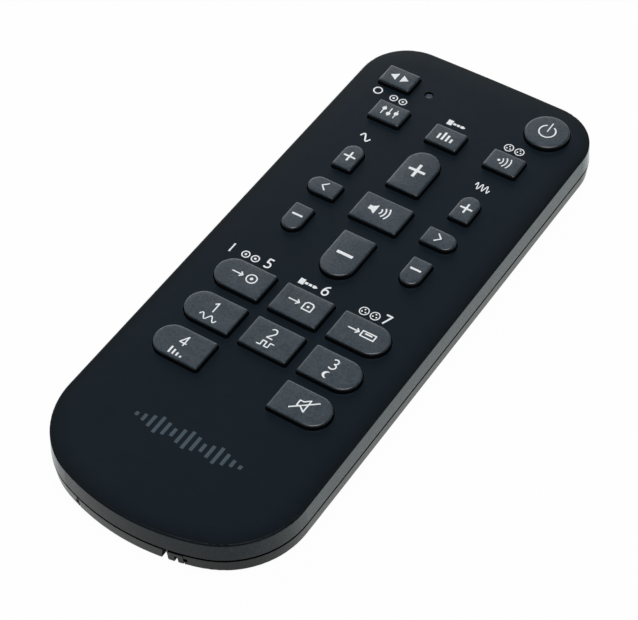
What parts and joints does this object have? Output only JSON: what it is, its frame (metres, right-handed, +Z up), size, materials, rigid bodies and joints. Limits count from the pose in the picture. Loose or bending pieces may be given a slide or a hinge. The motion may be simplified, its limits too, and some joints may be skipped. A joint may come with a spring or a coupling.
{
  "type": "audio interface remote control",
  "caption": "Slim hand-held infrared remote control: two-part casing with a curved near end, soft keys on a silicone mat, and a coin cell in a latched sliding tray.",
  "frame": {"origin": "middle of the flat underside", "axes": "+X across the keys towards the power key, +Y along the casing towards the infrared end, +Z up through the keys"},
  "size_m": [0.0546, 0.1356, 0.0092],
  "materials": {
    "casing_top": "fine satin, soft to the touch",
    "casing_bottom": "fine matt grain",
    "keys": "fine matt grain",
    "keypad": "matt",
    "board": "satin lacquer",
    "carbon": "matt print",
    "screws": "zinc plated",
    "lens": "milky clear",
    "light_body": "moulded",
    "infrared_filter": "polished, nearly black",
    "emitter_body": "clear tinted moulding",
    "tinned_leads": "tin plated",
    "chip_body": "fine spark grain",
    "resonator_body": "dipped",
    "capacitor_body": "moulded",
    "small_capacitor_body": "fired",
    "resistor_body": "glazed",
    "contact_metal": "nickel plated spring strip",
    "cell_metal": "bright nickel",
    "gasket": "moulded"
  },
  "bodies": {
    "case": {"top_shell": "casing_top", "bottom_shell": "casing_bottom", "keypad_mat": "keypad", "keypad_webs": "keypad", "circuit_board": "board", "contact_pads": "carbon", "board_screws": "screws", "indicator_lens": "lens", "indicator_light": "light_body", "infrared_window": "infrared_filter", "infrared_emitter": "emitter_body", "emitter_leads": "tinned_leads", "controller_chip": "chip_body", "controller_leads": "tinned_leads", "ceramic_resonator": "resonator_body", "reservoir_capacitor": "capacitor_body", "small_capacitors": "small_capacitor_body", "resistors": "resistor_body", "driver_transistor": "chip_body", "positive_contact": "contact_metal", "negative_contact": "contact_metal"},
    "key_select": {"key_select": "keys"},
    "key_power": {"key_power": "keys"},
    "key_tone": {"key_tone": "keys"},
    "key_equaliser": {"key_equaliser": "keys"},
    "key_loudness": {"key_loudness": "keys"},
    "key_volume": {"key_volume": "keys"},
    "key_volume_up": {"key_volume_up": "keys"},
    "key_volume_down": {"key_volume_down": "keys"},
    "key_balance_left": {"key_balance_left": "keys"},
    "key_balance_right": {"key_balance_right": "keys"},
    "key_bass_up": {"key_bass_up": "keys"},
    "key_bass_down": {"key_bass_down": "keys"},
    "key_treble_up": {"key_treble_up": "keys"},
    "key_treble_down": {"key_treble_down": "keys"},
    "key_coaxial_input": {"key_coaxial_input": "keys"},
    "key_optical_input": {"key_optical_input": "keys"},
    "key_usb_input": {"key_usb_input": "keys"},
    "key_1": {"key_1": "keys"},
    "key_2": {"key_2": "keys"},
    "key_3": {"key_3": "keys"},
    "key_4": {"key_4": "keys"},
    "key_mute": {"key_mute": "keys"},
    "tray": {"battery_tray": "casing_bottom", "cell_can": "cell_metal", "cell_gasket": "gasket", "cell_cap": "cell_metal"},
    "latch": {"tray_latch": "casing_bottom"}
  },
  "joints": [
    {"name": "key_select_press", "type": "slide", "parent": "case", "child": "key_select", "axis": [0, 0, -1], "range_m": [0, 0.0007], "stiffness_N_per_m": 2000, "deforming": ["keypad_webs"]},
    {"name": "key_power_press", "type": "slide", "parent": "case", "child": "key_power", "axis": [0, 0, -1], "range_m": [0, 0.0007], "stiffness_N_per_m": 2000, "deforming": ["keypad_webs"]},
    {"name": "key_tone_press", "type": "slide", "parent": "case", "child": "key_tone", "axis": [0, 0, -1], "range_m": [0, 0.0007], "stiffness_N_per_m": 2000, "deforming": ["keypad_webs"]},
    {"name": "key_equaliser_press", "type": "slide", "parent": "case", "child": "key_equaliser", "axis": [0, 0, -1], "range_m": [0, 0.0007], "stiffness_N_per_m": 2000, "deforming": ["keypad_webs"]},
    {"name": "key_loudness_press", "type": "slide", "parent": "case", "child": "key_loudness", "axis": [0, 0, -1], "range_m": [0, 0.0007], "stiffness_N_per_m": 2000, "deforming": ["keypad_webs"]},
    {"name": "key_volume_press", "type": "slide", "parent": "case", "child": "key_volume", "axis": [0, 0, -1], "range_m": [0, 0.0007], "stiffness_N_per_m": 2000, "deforming": ["keypad_webs"]},
    {"name": "key_volume_up_press", "type": "slide", "parent": "case", "child": "key_volume_up", "axis": [0, 0, -1], "range_m": [0, 0.0007], "stiffness_N_per_m": 2000, "deforming": ["keypad_webs"]},
    {"name": "key_volume_down_press", "type": "slide", "parent": "case", "child": "key_volume_down", "axis": [0, 0, -1], "range_m": [0, 0.0007], "stiffness_N_per_m": 2000, "deforming": ["keypad_webs"]},
    {"name": "key_balance_left_press", "type": "slide", "parent": "case", "child": "key_balance_left", "axis": [0, 0, -1], "range_m": [0, 0.0007], "stiffness_N_per_m": 2000, "deforming": ["keypad_webs"]},
    {"name": "key_balance_right_press", "type": "slide", "parent": "case", "child": "key_balance_right", "axis": [0, 0, -1], "range_m": [0, 0.0007], "stiffness_N_per_m": 2000, "deforming": ["keypad_webs"]},
    {"name": "key_bass_up_press", "type": "slide", "parent": "case", "child": "key_bass_up", "axis": [0, 0, -1], "range_m": [0, 0.0007], "stiffness_N_per_m": 2000, "deforming": ["keypad_webs"]},
    {"name": "key_bass_down_press", "type": "slide", "parent": "case", "child": "key_bass_down", "axis": [0, 0, -1], "range_m": [0, 0.0007], "stiffness_N_per_m": 2000, "deforming": ["keypad_webs"]},
    {"name": "key_treble_up_press", "type": "slide", "parent": "case", "child": "key_treble_up", "axis": [0, 0, -1], "range_m": [0, 0.0007], "stiffness_N_per_m": 2000, "deforming": ["keypad_webs"]},
    {"name": "key_treble_down_press", "type": "slide", "parent": "case", "child": "key_treble_down", "axis": [0, 0, -1], "range_m": [0, 0.0007], "stiffness_N_per_m": 2000, "deforming": ["keypad_webs"]},
    {"name": "key_coaxial_input_press", "type": "slide", "parent": "case", "child": "key_coaxial_input", "axis": [0, 0, -1], "range_m": [0, 0.0007], "stiffness_N_per_m": 2000, "deforming": ["keypad_webs"]},
    {"name": "key_optical_input_press", "type": "slide", "parent": "case", "child": "key_optical_input", "axis": [0, 0, -1], "range_m": [0, 0.0007], "stiffness_N_per_m": 2000, "deforming": ["keypad_webs"]},
    {"name": "key_usb_input_press", "type": "slide", "parent": "case", "child": "key_usb_input", "axis": [0, 0, -1], "range_m": [0, 0.0007], "stiffness_N_per_m": 2000, "deforming": ["keypad_webs"]},
    {"name": "key_1_press", "type": "slide", "parent": "case", "child": "key_1", "axis": [0, 0, -1], "range_m": [0, 0.0007], "stiffness_N_per_m": 2000, "deforming": ["keypad_webs"]},
    {"name": "key_2_press", "type": "slide", "parent": "case", "child": "key_2", "axis": [0, 0, -1], "range_m": [0, 0.0007], "stiffness_N_per_m": 2000, "deforming": ["keypad_webs"]},
    {"name": "key_3_press", "type": "slide", "parent": "case", "child": "key_3", "axis": [0, 0, -1], "range_m": [0, 0.0007], "stiffness_N_per_m": 2000, "deforming": ["keypad_webs"]},
    {"name": "key_4_press", "type": "slide", "parent": "case", "child": "key_4", "axis": [0, 0, -1], "range_m": [0, 0.0007], "stiffness_N_per_m": 2000, "deforming": ["keypad_webs"]},
    {"name": "key_mute_press", "type": "slide", "parent": "case", "child": "key_mute", "axis": [0, 0, -1], "range_m": [0, 0.0007], "stiffness_N_per_m": 2000, "deforming": ["keypad_webs"]},
    {"name": "tray_slide", "type": "slide", "parent": "case", "child": "tray", "axis": [0, -1, 0], "range_m": [0, 0.022]},
    {"name": "latch_flex", "type": "hinge", "parent": "tray", "child": "latch", "pos_m": [0.0112, -0.05785, 0.0017], "axis": [0, 0, -1], "range_deg": [0, 3.8], "stiffness_Nm_per_rad": 0.08}
  ]
}
